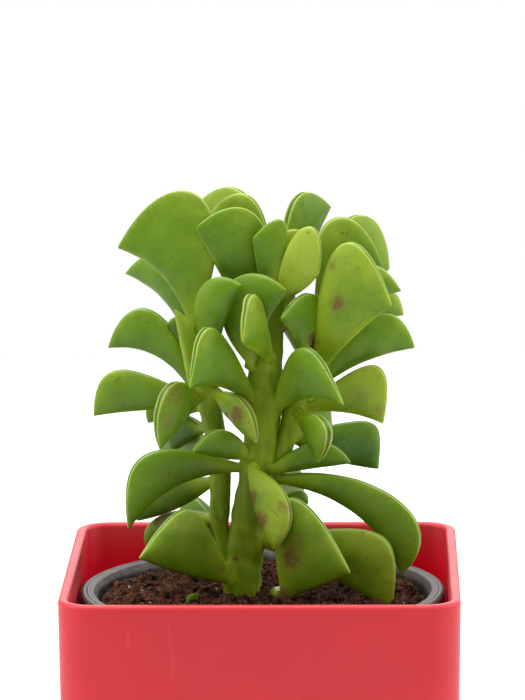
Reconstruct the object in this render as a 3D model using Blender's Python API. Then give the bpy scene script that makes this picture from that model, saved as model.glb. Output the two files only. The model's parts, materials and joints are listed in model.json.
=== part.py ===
"""Potted peperomia: a three-stemmed plant with folded, hatchet-shaped leaves in a round
nursery pot that stands inside a square plastic planter.

Sizes below are in millimetres and are turned into metres as each mesh is written.
The origin is the centre of the planter's underside, +Z is up and -Y is the front.
"""

import math
from typing import NamedTuple

import bmesh
import bpy
from mathutils import Vector

MM = 0.001

# Square planter
PLANTER_WIDTH = 84.0  # across the rim
PLANTER_HEIGHT = 80.0
PLANTER_WALL = 2.2
PLANTER_FLOOR = 2.5
PLANTER_DRAFT = math.tan(math.radians(0.68))  # each side leans out by this much
PLANTER_CORNER = 7.5  # radius of the upright corners at the rim
PLANTER_EDGE = 0.9  # rounding of the rim and of the foot
CORNER_STEPS = 7

# Round nursery pot standing on the planter's floor
STAND_GAP = 0.3  # under the nursery pot
POT_SIDE_GAP = 0.4  # between the nursery pot's rim and the planter's flat walls
POT_RIM_DROP = 5.5  # nursery rim below the planter's rim
POT_RIM_WIDTH = 3.1  # flat of the rolled rim
POT_RIM_DEPTH = 6.5  # height of the band under it
POT_WALL = 0.9
POT_BASE_RADIUS = 28.0
ROUND_STEPS = 48

# Potting soil
SOIL_GAP = 0.3  # between the soil and the nursery pot, and round each stem
SOIL_EDGE_DROP = 4.2  # soil at the wall below the nursery rim
SOIL_CROWN = 3.0  # how much higher the soil lies round the stems
SOIL_ROUGH = 0.45

# Stems and leaves
JOIN_GAP = 0.35  # between a stem and whatever grows from it
PETIOLE = 2.4  # height of a leaf's stalk where it meets the stem
PLANT_DATUM = 70.3  # height of the soil's edge for which the plant's heights below are given
LEAF_STATIONS = 9
STEM_RING = 12

POT_TOP = PLANTER_HEIGHT - POT_RIM_DROP
POT_BOTTOM = PLANTER_FLOOR + STAND_GAP
SOIL_EDGE = POT_TOP - SOIL_EDGE_DROP
PLANT_LIFT = SOIL_EDGE - PLANT_DATUM  # the plant rises and sinks with its soil


def planter_inner(z):
    """Half the clear width inside the planter at height z."""
    return PLANTER_WIDTH / 2 - PLANTER_WALL - (PLANTER_HEIGHT - z) * PLANTER_DRAFT


POT_RIM_RADIUS = planter_inner(POT_TOP - POT_RIM_DEPTH) - POT_SIDE_GAP


class Stem(NamedTuple):
    """A stem through the listed points, each (x, y, z, radius)."""

    name: str
    points: tuple


class Leaf(NamedTuple):
    """One folded leaf, described as it would be measured on the plant.

    height: where it leaves its stem. heading: compass direction in degrees, 0 is +X and
    -90 is the front. pitch: degrees above level. length: keel from stalk to tip. rise:
    height of the crest over the keel, as a share of the length. shoulder and brow: how
    far along the crest stands up at the back and at the front. bow: how far the keel
    arches. roll: lean of the blade about its keel. seat: compass direction of the spot on
    the stem it grows from, where that isn't its heading. thick: across the blade.
    """

    name: str
    stem: str
    height: float
    heading: float
    pitch: float
    length: float
    rise: float
    shoulder: float
    brow: float
    bow: float = 0.0
    roll: float = 0.0
    seat: float | None = None
    thick: float = 3.4


STEMS = (
    Stem("main_stem", ((-4.6, 0, 67, 3.6), (-4.1, 0, 80, 3.4), (-2.4, 0, 92, 3.2),
                       (-1, 0, 100, 3.0), (0.2, 0, 112, 3.2), (0.8, 0.5, 122, 3.0),
                       (2, 1.5, 130, 2.2), (2.5, 2, 137, 1.3))),
    Stem("left_branch", ((-8.7, 0.4, 86, 1.4), (-9.2, 0.8, 91, 1.9), (-8.9, 1.2, 97, 1.9),
                         (-9.8, 1, 107, 2.0), (-11.4, -0.5, 116, 2.1),
                         (-11.8, -1, 127, 1.9), (-11.6, -1, 136, 1.4))),
    Stem("right_branch", ((4.4, 0, 104.4, 1.9), (7, 0, 113, 2.3), (9, 0, 122, 2.2),
                          (11.2, 1, 131, 1.9), (12.4, 2, 136.5, 1.3))),
    Stem("front_shoot", ((3.2, -4.6, 67, 2.0), (3.4, -4.6, 74, 1.8))),
)

LEAVES = (
    # low on the main stem and on the shoot beside it
    Leaf("leaf_main_01", "main_stem", 77.0, -142, 18, 24.5, 0.50, 0.60, 0.68, -0.05),
    Leaf("leaf_front_01", "front_shoot", 74.6, -26, 21, 17.2, 1.12, 0.25, 0.80, 0, 0, -70),
    Leaf("leaf_main_02", "main_stem", 84.5, -14, -26, 31.0, 0.44, 0.70, 0.82, 0.05),
    Leaf("leaf_main_03", "main_stem", 90.5, 10, 12, 9.0, 0.38, 0.60, 1.15),
    Leaf("leaf_main_04", "main_stem", 98.4, -11, -36, 34.0, 0.37, 0.45, 1.10, 0.30),
    Leaf("leaf_main_05", "main_stem", 101.0, -58, -61, 18.0, 0.35, 0.40, 0.80, -0.15, 30, -100),
    Leaf("leaf_main_06", "main_stem", 101.0, -160, -25, 28.0, 0.45, 0.55, 0.80, 0.27),
    Leaf("leaf_main_07", "main_stem", 104.0, -139, 10, 15.0, 0.33, 0.36, 0.76, -0.05),
    Leaf("leaf_main_08", "main_stem", 101.0, 0, 4, 16.5, 0.29, 0.47, 0.80, 0, 0, -35),
    # middle of the main stem
    Leaf("leaf_main_09", "main_stem", 116.0, -130, 15, 20.5, 0.62, 0.85, 1.05, 0.20),
    Leaf("leaf_main_10", "main_stem", 114.0, -41, 9, 19.5, 0.65, 0.40, 0.70, 0.25),
    Leaf("leaf_main_11", "main_stem", 124.0, -117, 23, 12.5, 0.85, 0.80, 1.35, 0, 0, -84),
    Leaf("leaf_main_12", "main_stem", 124.0, -25, 62, 18.5, 0.62, 0.20, 1.15, 0.15, 0, -130),
    # crown of the main stem
    Leaf("leaf_main_13", "main_stem", 133.0, -162, 57.5, 22.4, 0.5, 0.60, 1.15, 0.1, 0, 180, 2.6),
    Leaf("leaf_main_14", "main_stem", 133.0, 160, 57, 23.0, 0.52, 0.75, 1.30, 0, 0, 134, 2.8),
    Leaf("leaf_main_15", "main_stem", 131.0, 147, 50, 31.2, 0.37, 0.65, 1.05, 0, 0, 84),
    Leaf("leaf_main_16", "main_stem", 131.0, 43, 59, 28.0, 0.33, 0.90, 1.07, 0.10, 0, 54),
    Leaf("leaf_main_17", "main_stem", 134.0, 6, 79, 18.0, 0.28, 0.60, 1.05, 0, 0, 2, 2.4),
    Leaf("leaf_main_18", "main_stem", 138.0, -26, 30, 10.5, 0.9, 0.90, 2.00, 0.10, 0, -60, 2.8),
    Leaf("leaf_main_19", "main_stem", 137.5, -170, 77, 13.5, 0.5, 1.10, 1.45, 0, 0, -115, 1.9),
    # left branch, from its foot up
    Leaf("leaf_left_01", "left_branch", 89.0, 148, -26, 18.5, 0.27, 0.40, 1.00),
    Leaf("leaf_left_02", "left_branch", 97.0, 158, -30, 19.5, 0.35, 0.60, 1.00, -0.12),
    Leaf("leaf_left_03", "left_branch", 109.0, 146, -38, 10.0, 0.60, 0.30, 0.95),
    Leaf("leaf_left_04", "left_branch", 117.0, -44, -38, 14.5, 0.32, 0.30, 0.80, -0.10),
    Leaf("leaf_left_05", "left_branch", 114.5, 171, -8, 23.0, 0.40, 0.66, 0.91, 0.05),
    Leaf("leaf_left_06", "left_branch", 116.5, -132, -39, 15.0, 0.60, 0.00, 0.80, 0.05),
    Leaf("leaf_left_07", "left_branch", 118.0, 172, 24, 20.5, 0.56, 0.55, 1.10, 0.35),
    Leaf("leaf_left_08", "left_branch", 119.0, -145, 74, 18.0, 0.18, 0.40, 0.75, -0.05, 0, -135, 2.6),
    Leaf("leaf_left_09", "left_branch", 126.5, 180, 46, 7.5, 0.40, 0.60, 1.20, 0, 0, 180, 2.2),
    Leaf("leaf_left_10", "left_branch", 124.0, 146, 41, 25.5, 0.42, 0.55, 1.00, 0.28, 0, 120),
    Leaf("leaf_left_11", "left_branch", 124.0, -25, 68, 19.0, 0.45, 0.40, 1.08, 0.15, 0, -70),
    Leaf("leaf_left_12", "left_branch", 132.5, 170, 44, 22.8, 0.79, 0.45, 1.2, 0.30, -7, None, 2.9),
    Leaf("leaf_left_13", "left_branch", 113.6, 166, -20, 12.5, 0.40, 0.50, 1.00, 0, 0, 125),
    # right branch, from its foot up
    Leaf("leaf_right_01", "right_branch", 106.5, 20, -23, 20.8, 0.42, 0.85, 0.80, -0.10, 0, 60),
    Leaf("leaf_right_02", "right_branch", 112.5, -65, -45, 12.2, 0.80, 0.60, 1.20),
    Leaf("leaf_right_03", "right_branch", 114.0, -10, -11, 16.5, 0.72, 0.70, 1.00, 0.15),
    Leaf("leaf_right_04", "right_branch", 118.5, 4, 20, 23.0, 0.42, 0.63, 1.06, 0.14),
    Leaf("leaf_right_05", "right_branch", 122.3, 38, 16, 8.8, 0.60, 0.60, 1.20, 0, 0, 50),
    Leaf("leaf_right_06", "right_branch", 122.0, -32, 40, 24.5, 0.65, 0.85, 1.30, 0.28, 0, -30),
    Leaf("leaf_right_07", "right_branch", 127.0, -136, 48, 10.0, 0.85, 0.20, 1.15, 0.10, 0, -105),
    Leaf("leaf_right_08", "right_branch", 127.5, -1, 35, 20.0, 0.45, 0.70, 1.05, 0.25, 0, -8),
    Leaf("leaf_right_09", "right_branch", 131.0, 36, 29, 21.0, 0.70, 0.40, 1.45, 0, 0, 70),
    Leaf("leaf_right_10", "right_branch", 135.5, 8, 35, 14.0, 1.0, 0.30, 1.45),
    Leaf("leaf_right_11", "right_branch", 128.0, 20, 13, 19.0, 0.40, 0.60, 1.05, 0.10, 0, 35),
    Leaf("leaf_main_20", "main_stem", 87.0, 62, 2, 21.0, 0.50, 0.60, 0.95),
    Leaf("leaf_main_21", "main_stem", 95.5, 85, -4, 23.0, 0.48, 0.62, 0.95),
    Leaf("leaf_main_22", "main_stem", 106.0, 52, -8, 21.0, 0.50, 0.60, 0.90),
    Leaf("leaf_main_23", "main_stem", 118.0, 98, 18, 22.0, 0.52, 0.62, 1.00),
    Leaf("leaf_main_24", "main_stem", 79.5, 128, 4, 21.0, 0.50, 0.60, 0.95),
    Leaf("leaf_left_14", "left_branch", 103.0, 130, -6, 18.0, 0.48, 0.60, 0.95),
    Leaf("leaf_left_15", "left_branch", 116.0, 84, 14, 17.0, 0.50, 0.60, 1.00),
    Leaf("leaf_right_12", "right_branch", 117.0, 84, 8, 18.0, 0.50, 0.60, 0.95),
    Leaf("leaf_right_13", "right_branch", 125.0, 112, 20, 16.0, 0.52, 0.60, 1.00),
)

# Cross-section of a blade from the keel up one side: share of the way to the crest, and
# share of half the thickness. The last pair is the lip, and a groove lies between lips.
SECTION = ((0.17, 0.72), (0.58, 1.0), (0.93, 0.66), (1.0, 0.36))
GROOVE = 0.94


def new_object(name, verts, faces, material, smooth=True):
    """An object from points in millimetres."""
    mesh = bpy.data.meshes.new(name)
    mesh.from_pydata([tuple(c * MM for c in v) for v in verts], [], faces)
    mesh.polygons.foreach_set("use_smooth", [smooth] * len(mesh.polygons))
    mesh.materials.append(material)
    mesh.validate()
    mesh.update()
    obj = bpy.data.objects.new(name, mesh)
    bpy.context.scene.collection.objects.link(obj)
    return obj


def plain_material(name, color, roughness):
    material = bpy.data.materials.new(name)
    material.use_nodes = True
    shader = material.node_tree.nodes["Principled BSDF"]
    shader.inputs["Base Color"].default_value = (*color, 1.0)
    shader.inputs["Roughness"].default_value = roughness
    material.diffuse_color = (*color, 1.0)
    return material


def skin(rings, close_start=True, close_end=True):
    """Points and faces of a tube through rings of equal size, capped at both ends."""
    count = len(rings[0])
    verts = [v for ring in rings for v in ring]
    faces = []
    for k in range(len(rings) - 1):
        low = k * count
        high = low + count
        for i in range(count):
            j = (i + 1) % count
            faces.append((low + i, low + j, high + j, high + i))
    if close_start:
        faces.append(tuple(reversed(range(count))))
    if close_end:
        last = (len(rings) - 1) * count
        faces.append(tuple(range(last, last + count)))
    return verts, faces


def rounded_square(half, corner, z):
    """Points of a square with rounded corners, anticlockwise from above."""
    points = []
    for quarter in range(4):
        start = quarter * math.pi / 2
        for step in range(CORNER_STEPS):
            angle = start + (math.pi / 2) * step / (CORNER_STEPS - 1)
            sx = 1 if quarter in (0, 3) else -1
            sy = 1 if quarter in (0, 1) else -1
            x = sx * (half - corner) + corner * math.cos(angle)
            y = sy * (half - corner) + corner * math.sin(angle)
            points.append((x, y, z))
    return points


def make_planter(material):
    """The square planter: an outer and an inner shell that meet over a rounded rim."""
    top = PLANTER_WIDTH / 2
    foot = top - PLANTER_HEIGHT * PLANTER_DRAFT
    edge = PLANTER_EDGE
    corner = PLANTER_CORNER
    inner_corner = corner - PLANTER_WALL
    rings = [rounded_square(foot - edge, corner - edge, 0)]
    for degrees in (30, 60, 90):
        turn = math.radians(degrees)
        inset = edge * (1 - math.sin(turn))
        rings.append(rounded_square(foot - inset, corner - inset, edge * (1 - math.cos(turn))))
    rings.append(rounded_square(top, corner, PLANTER_HEIGHT - edge))
    for degrees in (35, 65, 90):
        turn = math.radians(degrees)
        inset = edge * (1 - math.cos(turn))
        z = PLANTER_HEIGHT - edge * (1 - math.sin(turn))
        rings.append(rounded_square(top - inset, corner - inset, z))
    inner_edge = PLANTER_WALL - edge
    for degrees in (0, 30, 60, 90):
        turn = math.radians(degrees)
        inset = inner_edge + edge * math.sin(turn)
        z = PLANTER_HEIGHT - edge * (1 - math.cos(turn))
        rings.append(rounded_square(top - inset, corner - inset, z))
    rings.append(rounded_square(planter_inner(PLANTER_FLOOR + 2), inner_corner, PLANTER_FLOOR + 2))
    rings.append(
        rounded_square(planter_inner(PLANTER_FLOOR) - 2, inner_corner - 2, PLANTER_FLOOR)
    )
    verts, faces = skin(rings)
    return new_object("planter", verts, faces, material)


def revolve(profile):
    """Rings from (radius, z) pairs."""
    rings = []
    for radius, z in profile:
        ring = []
        for i in range(ROUND_STEPS):
            angle = math.tau * i / ROUND_STEPS
            ring.append((radius * math.cos(angle), radius * math.sin(angle), z))
        rings.append(ring)
    return rings


def pot_inner(z):
    """Inside radius of the nursery pot's wall at height z."""
    low = POT_BASE_RADIUS
    high = POT_RIM_RADIUS - POT_RIM_WIDTH + POT_WALL - 0.4
    share = (z - POT_BOTTOM) / (POT_TOP - POT_BOTTOM)
    return low + (high - low) * share - POT_WALL


def make_nursery_pot(material):
    rim = POT_RIM_RADIUS
    band = POT_TOP - POT_RIM_DEPTH
    floor = POT_BOTTOM + POT_WALL
    profile = [
        (POT_BASE_RADIUS - 0.8, POT_BOTTOM),
        (POT_BASE_RADIUS, POT_BOTTOM + 0.8),
        (pot_inner(band) + POT_WALL, band),
        (rim - 0.5, band),
        (rim, band + 0.5),
        (rim, POT_TOP - 0.9),
        (rim - 0.3, POT_TOP - 0.3),
        (rim - 0.9, POT_TOP),
        (rim - POT_RIM_WIDTH + 0.7, POT_TOP),
        (rim - POT_RIM_WIDTH + 0.2, POT_TOP - 0.2),
        (rim - POT_RIM_WIDTH, POT_TOP - 0.7),
        (pot_inner(POT_TOP - 2.5), POT_TOP - 2.5),
        (pot_inner(floor), floor + 0.5),
        (pot_inner(floor) - 0.5, floor),
    ]
    verts, faces = skin(revolve(profile))
    return new_object("nursery_pot", verts, faces, material)


def soil_height(x, y):
    """Height of the soil's top: a low mound with gentle lumps."""
    reach = math.hypot(x, y) / pot_inner(SOIL_EDGE)
    mound = SOIL_CROWN * (1 - min(reach, 1.0) ** 2)
    lumps = math.sin(0.42 * x + 1.1) * math.cos(0.37 * y - 0.6) + 0.6 * math.sin(0.8 * x - 0.7 * y)
    return SOIL_EDGE + mound + SOIL_ROUGH * lumps


def make_soil(material):
    floor = POT_BOTTOM + POT_WALL + SOIL_GAP
    rings = revolve(
        (
            (pot_inner(floor) - SOIL_GAP - 1.0, floor),
            (pot_inner(floor + 1) - SOIL_GAP, floor + 1.0),
        )
    )
    edge = pot_inner(SOIL_EDGE - 1) - SOIL_GAP
    for share in (1.0, 0.86, 0.7, 0.52, 0.34, 0.17):
        ring = []
        for i in range(ROUND_STEPS):
            angle = math.tau * i / ROUND_STEPS
            x = edge * share * math.cos(angle)
            y = edge * share * math.sin(angle)
            ring.append((x, y, soil_height(x, y)))
        rings.append(ring)
    verts, faces = skin(rings, close_end=False)
    verts.append((0, 0, soil_height(0, 0)))
    last = (len(rings) - 1) * ROUND_STEPS
    for i in range(ROUND_STEPS):
        faces.append((last + i, last + (i + 1) % ROUND_STEPS, len(verts) - 1))
    return new_object("potting_soil", verts, faces, material)


def stem_line(stem):
    """The stem's points as vectors, and its radii."""
    centres = [Vector((x, y, z + PLANT_LIFT)) for x, y, z, _ in stem.points]
    return centres, [radius for _, _, _, radius in stem.points]


def stem_place(stem, z):
    """Centre and radius of the stem at height z."""
    points, radii = stem_line(stem)
    for k in range(len(points) - 1):
        low, high = points[k].z, points[k + 1].z
        if z <= high or k == len(points) - 2:
            share = (z - low) / (high - low)
            centre = points[k].lerp(points[k + 1], share)
            return centre, radii[k] + (radii[k + 1] - radii[k]) * share


def stem_rings(stem, extra=0.0, subdivisions=2):
    """Level rings up the stem with rounded ends, widened by extra for a clearance cut."""
    points, _ = stem_line(stem)
    heights = []
    for k in range(len(points) - 1):
        for step in range(subdivisions):
            heights.append(points[k].z + (points[k + 1].z - points[k].z) * step / subdivisions)
    heights.append(points[-1].z)
    rings = []
    for k, z in enumerate(heights):
        centre, radius = stem_place(stem, z)
        ring = []
        for i in range(STEM_RING):
            angle = math.tau * i / STEM_RING
            reach = radius + extra
            ring.append((centre.x + reach * math.cos(angle), centre.y + reach * math.sin(angle), z))
        rings.append(ring)
    return rings


def make_stem(stem, material):
    rings = stem_rings(stem)
    top, radius = stem_place(stem, rings[-1][0][2])
    cap = []
    for i in range(STEM_RING):
        angle = math.tau * i / STEM_RING
        reach = radius * 0.6
        cap.append((top.x + reach * math.cos(angle), top.y + reach * math.sin(angle), top.z + radius * 0.5))
    verts, faces = skin(rings + [cap])
    return new_object(stem.name, verts, faces, material)


def sink_socket(soil, stem):
    """Cuts the hole in the soil that a stem stands in, with the soil's clearance all round."""
    rings = stem_rings(stem, SOIL_GAP)
    below = [(x, y, z - SOIL_GAP) for x, y, z in rings[0]]
    above = [(x, y, z + 9) for x, y, z in rings[2]]
    verts, faces = skin([below] + rings[:3] + [above])
    cutter = new_object("socket_" + stem.name, verts, faces, soil.data.materials[0])
    cutter.hide_render = True
    cutter.display_type = "WIRE"
    cut = soil.modifiers.new(cutter.name, "BOOLEAN")
    cut.operation = "DIFFERENCE"
    cut.solver = "EXACT"
    cut.object = cutter


def curve(handles, share):
    """Point on a Bezier curve with any number of handles."""
    points = list(handles)
    while len(points) > 1:
        points = [a.lerp(b, share) for a, b in zip(points, points[1:])]
    return points[0]


def leaf_axes(leaf):
    """Unit vectors along the keel, up the blade and across it."""
    heading, pitch, roll = (math.radians(a) for a in (leaf.heading, leaf.pitch, leaf.roll))
    level = Vector((math.cos(heading), math.sin(heading), 0))
    along = level * math.cos(pitch) + Vector((0, 0, math.sin(pitch)))
    upright = Vector((0, 0, math.cos(pitch))) - level * math.sin(pitch)
    rise = upright * math.cos(roll) + upright.cross(along) * math.sin(roll)
    return along, rise, along.cross(rise)


def leaf_width(share, leaf):
    """Thickness of the blade along its length: a round stalk, a full blade, a fine tip."""
    swell = min(share / 0.35, 1.0)
    swell = swell * swell * (3 - 2 * swell)
    body = PETIOLE + (leaf.thick - PETIOLE) * swell
    fine = max(0.0, (share - 0.55) / 0.45)
    return body * (1 - 0.62 * fine**1.6)


def make_leaf(leaf, stems, material):
    """A blade folded up along its keel, with a groove between the two lips of its crest."""
    along, rise, across = leaf_axes(leaf)
    centre, radius = stem_place(stems[leaf.stem], leaf.height + PLANT_LIFT)
    bearing = math.radians(leaf.heading if leaf.seat is None else leaf.seat)
    outward = Vector((math.cos(bearing), math.sin(bearing), 0))
    room = 0.5 * PETIOLE * abs(rise.dot(outward)) + 0.5 * leaf.thick * abs(across.dot(outward))
    base = centre + outward * (radius + JOIN_GAP + room)
    size = leaf.length
    top = leaf.rise * size * 4 / 3
    keel = (
        Vector((0, -PETIOLE / 2)),
        Vector((0.5 * size, leaf.bow * size - PETIOLE / 4)),
        Vector((size, 0)),
    )
    crest = (
        Vector((0, PETIOLE / 2)),
        Vector((leaf.shoulder * size, top)),
        Vector((leaf.brow * size, top)),
        Vector((size, 0)),
    )

    def place(flat, side):
        return base + along * flat.x + rise * flat.y + across * side

    rings = []
    for k in range(LEAF_STATIONS):
        share = k / LEAF_STATIONS
        share = 0.985 * share ** 0.92
        low = curve(keel, share)
        high = curve(crest, share)
        half = leaf_width(share, leaf) / 2
        right = [place(low.lerp(high, up), half * wide) for up, wide in SECTION]
        left = [place(low.lerp(high, up), -half * wide) for up, wide in SECTION]
        groove = place(low.lerp(high, GROOVE), 0)
        rings.append([place(low, 0), *left, groove, *reversed(right)])
    count = len(rings[0])
    verts, faces = skin(rings, close_start=False, close_end=False)
    verts.append(sum(rings[0], Vector()) / count)
    verts.append(place(Vector((size, 0)), 0))
    last = (len(rings) - 1) * count
    for i in range(count):
        j = (i + 1) % count
        faces.append((j, i, len(verts) - 2))
        faces.append((last + i, last + j, len(verts) - 1))
    return new_object(leaf.name, verts, faces, material)


def main():
    for obj in list(bpy.data.objects):
        bpy.data.objects.remove(obj, do_unlink=True)
    red = plain_material("planter_plastic", (0.62, 0.045, 0.055), 0.4)
    grey = plain_material("nursery_plastic", (0.1, 0.1, 0.095), 0.55)
    brown = plain_material("soil", (0.045, 0.025, 0.016), 0.95)
    olive = plain_material("stem_green", (0.13, 0.2, 0.02), 0.5)
    green = plain_material("leaf_green", (0.13, 0.29, 0.03), 0.35)
    make_planter(red)
    make_nursery_pot(grey)
    soil = make_soil(brown)
    stems = {stem.name: stem for stem in STEMS}
    for stem in STEMS:
        make_stem(stem, olive)
    sink_socket(soil, stems["main_stem"])
    sink_socket(soil, stems["front_shoot"])
    for leaf in LEAVES:
        make_leaf(leaf, stems, green)


main()
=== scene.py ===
"""Potted peperomia: the finished look of a folded-leaf peperomia in a round nursery pot,
standing inside a square red planter.

Laid out as a Blender add-on: each operator makes one piece or group of like pieces.
Sizes are in metres, +Z is up and -Y is the front.
"""

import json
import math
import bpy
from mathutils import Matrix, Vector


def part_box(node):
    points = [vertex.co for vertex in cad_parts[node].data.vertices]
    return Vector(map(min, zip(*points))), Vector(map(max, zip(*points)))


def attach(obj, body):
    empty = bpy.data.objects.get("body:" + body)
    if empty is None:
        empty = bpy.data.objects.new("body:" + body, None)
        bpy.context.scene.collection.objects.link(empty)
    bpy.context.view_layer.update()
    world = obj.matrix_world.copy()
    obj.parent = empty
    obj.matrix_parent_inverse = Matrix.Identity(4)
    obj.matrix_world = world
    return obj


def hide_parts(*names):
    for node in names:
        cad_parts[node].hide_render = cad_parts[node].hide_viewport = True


bl_info = {
    "name": "Potted Peperomia",
    "version": (1, 0, 0),
    "blender": (4, 5, 0),
    "location": "3D View > Sidebar > Peperomia",
    "description": "Builds a peperomia in a nursery pot and a square planter",
    "category": "Object",
}

import bmesh
import bpy
import numpy as np
from bpy.props import FloatProperty, FloatVectorProperty, IntProperty, PointerProperty
from mathutils import Matrix, Vector

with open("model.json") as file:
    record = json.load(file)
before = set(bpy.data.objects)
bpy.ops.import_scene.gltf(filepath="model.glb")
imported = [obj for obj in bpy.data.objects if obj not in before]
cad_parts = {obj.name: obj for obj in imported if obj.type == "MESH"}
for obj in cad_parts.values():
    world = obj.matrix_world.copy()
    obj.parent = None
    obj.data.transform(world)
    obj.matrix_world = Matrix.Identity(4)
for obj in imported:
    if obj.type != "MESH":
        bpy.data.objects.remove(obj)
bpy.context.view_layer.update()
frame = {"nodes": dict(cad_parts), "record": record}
NODES = frame["nodes"]
BODY = "root"
MM = 0.001
QUARTER = math.pi / 2


# Small helpers


def linear(red, green, blue):
    """A colour given as 0-255 screen values, as the linear colour Blender works in."""

    def channel(value):
        value /= 255
        return value / 12.92 if value <= 0.04045 else ((value + 0.055) / 1.055) ** 2.4

    return (channel(red), channel(green), channel(blue))


def tinted(colour, *factors):
    """A colour with each channel made stronger or weaker, up to full."""
    return tuple(min(1, channel * factor) for channel, factor in zip(colour, factors))


def smoothstep(low, high, value):
    """0 below low, 1 above high, and a soft climb between them."""
    share = np.clip((np.asarray(value, float) - low) / (high - low), 0, 1)
    return share * share * (3 - 2 * share)


def flow(x, xs, ys):
    """A smooth curve through the points (xs, ys), read at x. ys may hold vectors."""
    xs, ys, x = np.asarray(xs, float), np.asarray(ys, float), np.atleast_1d(x)
    slopes = np.gradient(ys, xs, axis=0)
    at = np.clip(np.searchsorted(xs, x) - 1, 0, len(xs) - 2)
    gap = xs[at + 1] - xs[at]
    u = (x - xs[at]) / gap
    if ys.ndim > 1:
        u, gap = u[:, None], gap[:, None]
    return (
        (2 * u**3 - 3 * u**2 + 1) * ys[at]
        + (u**3 - 2 * u**2 + u) * gap * slopes[at]
        + (3 * u**2 - 2 * u**3) * ys[at + 1]
        + (u**3 - u**2) * gap * slopes[at + 1]
    )


def unit(way):
    """A direction, one long."""
    return way / np.linalg.norm(way)


def bezier_weights(share, degree):
    """How much each handle of a Bezier curve counts at each share of its length."""
    share = np.atleast_1d(share)
    return np.stack(
        [
            math.comb(degree, k) * share**k * (1 - share) ** (degree - k)
            for k in range(degree + 1)
        ],
        axis=1,
    )


def ripple(points, size, seed):
    """A smooth random value from -1 to 1 at each point, with waves about size long."""
    rng = np.random.default_rng(seed)
    total = np.zeros(len(points))
    for _ in range(5):
        way = rng.normal(size=3)
        way *= rng.uniform(0.7, 1.4) * math.tau / (size * np.linalg.norm(way))
        total += np.sin(points @ way + rng.uniform(0, math.tau))
    return total / 3.2


def around(steps):
    """The bearings of a ring of points."""
    return np.arange(steps) * math.tau / steps


def level_ring(bearings, radius, z):
    """A level ring round the middle. Its radius and height may vary from point to point."""
    ring = np.empty((len(bearings), 3))
    ring[:, 0], ring[:, 1] = radius * np.cos(bearings), radius * np.sin(bearings)
    ring[:, 2] = z
    return ring


def shell(rings, close_start=True):
    """Points and faces of a tube through rings of equal size, its ends closed by a fan."""
    rings = [np.asarray(ring, float) for ring in rings]
    count = len(rings[0])
    points = np.concatenate(rings)
    faces = []
    for k in range(len(rings) - 1):
        low, high = k * count, (k + 1) * count
        for i in range(count):
            j = (i + 1) % count
            faces.append((low + i, low + j, high + j, high + i))
    if close_start:
        points = np.vstack([points, rings[0].mean(0)])
        faces += [((i + 1) % count, i, len(points) - 1) for i in range(count)]
    points = np.vstack([points, rings[-1].mean(0)])
    last = (len(rings) - 1) * count
    faces += [(last + i, last + (i + 1) % count, len(points) - 1) for i in range(count)]
    return points, faces


def make_piece(name, points, faces, material, values=None):
    """A mesh object at the origin with its faces outwards. values are per-point attributes."""
    mesh = bpy.data.meshes.new(name)
    mesh.from_pydata([tuple(p) for p in points], [], faces)
    mesh.validate()
    bm = bmesh.new()
    bm.from_mesh(mesh)
    if bm.calc_volume(signed=True) < 0:
        bmesh.ops.reverse_faces(bm, faces=bm.faces)
    bm.to_mesh(mesh)
    bm.free()
    for key, numbers in (values or {}).items():
        layer = mesh.attributes.new(key, "FLOAT", "POINT")
        layer.data.foreach_set("value", np.asarray(numbers, np.float32))
    mesh.polygons.foreach_set("use_smooth", [True] * len(mesh.polygons))
    mesh.materials.append(material)
    mesh.update()
    piece = bpy.data.objects.new(name, mesh)
    bpy.context.scene.collection.objects.link(piece)
    return piece


def settle(piece, slot, *nodes):
    """Hangs a piece on the object's body, in place of the CAD nodes. The slot is not used."""
    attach(piece, BODY)
    if nodes:
        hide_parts(*nodes)
    return piece


# Node writing


class Value:
    """An output in a node tree. Ordinary arithmetic on it adds Math nodes."""

    def __init__(self, bench, socket):
        self.bench = bench
        self.socket = socket

    def math(self, operation, *others):
        return self.bench.node(
            "ShaderNodeMath", {"operation": operation}, dict(enumerate((self, *others)))
        )

    def __add__(self, other):
        return self.math("ADD", other)

    __radd__ = __add__

    def __mul__(self, other):
        return self.math("MULTIPLY", other)

    __rmul__ = __mul__

    def __sub__(self, other):
        return self.math("SUBTRACT", other)

    def __rsub__(self, other):
        return self.bench.node("ShaderNodeMath", {"operation": "SUBTRACT"}, {0: other, 1: self})


class Bench:
    """Writes nodes into one tree."""

    def __init__(self, tree):
        self.tree = tree

    def node(self, kind, settings=None, values=None, out=0):
        """Adds a node: its settings first, then its sockets' values or links."""
        made = self.tree.nodes.new(kind)
        for key, value in (settings or {}).items():
            setattr(made, key, value)
        for key, value in (values or {}).items():
            socket = made.inputs[key]
            if isinstance(value, Value):
                self.tree.links.new(value.socket, socket)
            elif socket.type == "RGBA" and len(value) == 3:
                socket.default_value = (*value, 1.0)
            else:
                socket.default_value = value
        return Value(self, made.outputs[out])

    def mix(self, factor, first, second):
        """Two colours mixed: first where the factor is 0, second where it is 1."""
        return self.node(
            "ShaderNodeMix", {"data_type": "RGBA"}, {0: factor, 6: first, 7: second}, 2
        )

    def climb(self, value, low, high):
        """0 where the value is below low, 1 above high, with a soft step between."""
        return self.node(
            "ShaderNodeMapRange",
            {"interpolation_type": "SMOOTHSTEP"},
            {"Value": value, "From Min": low, "From Max": high},
        )



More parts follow.
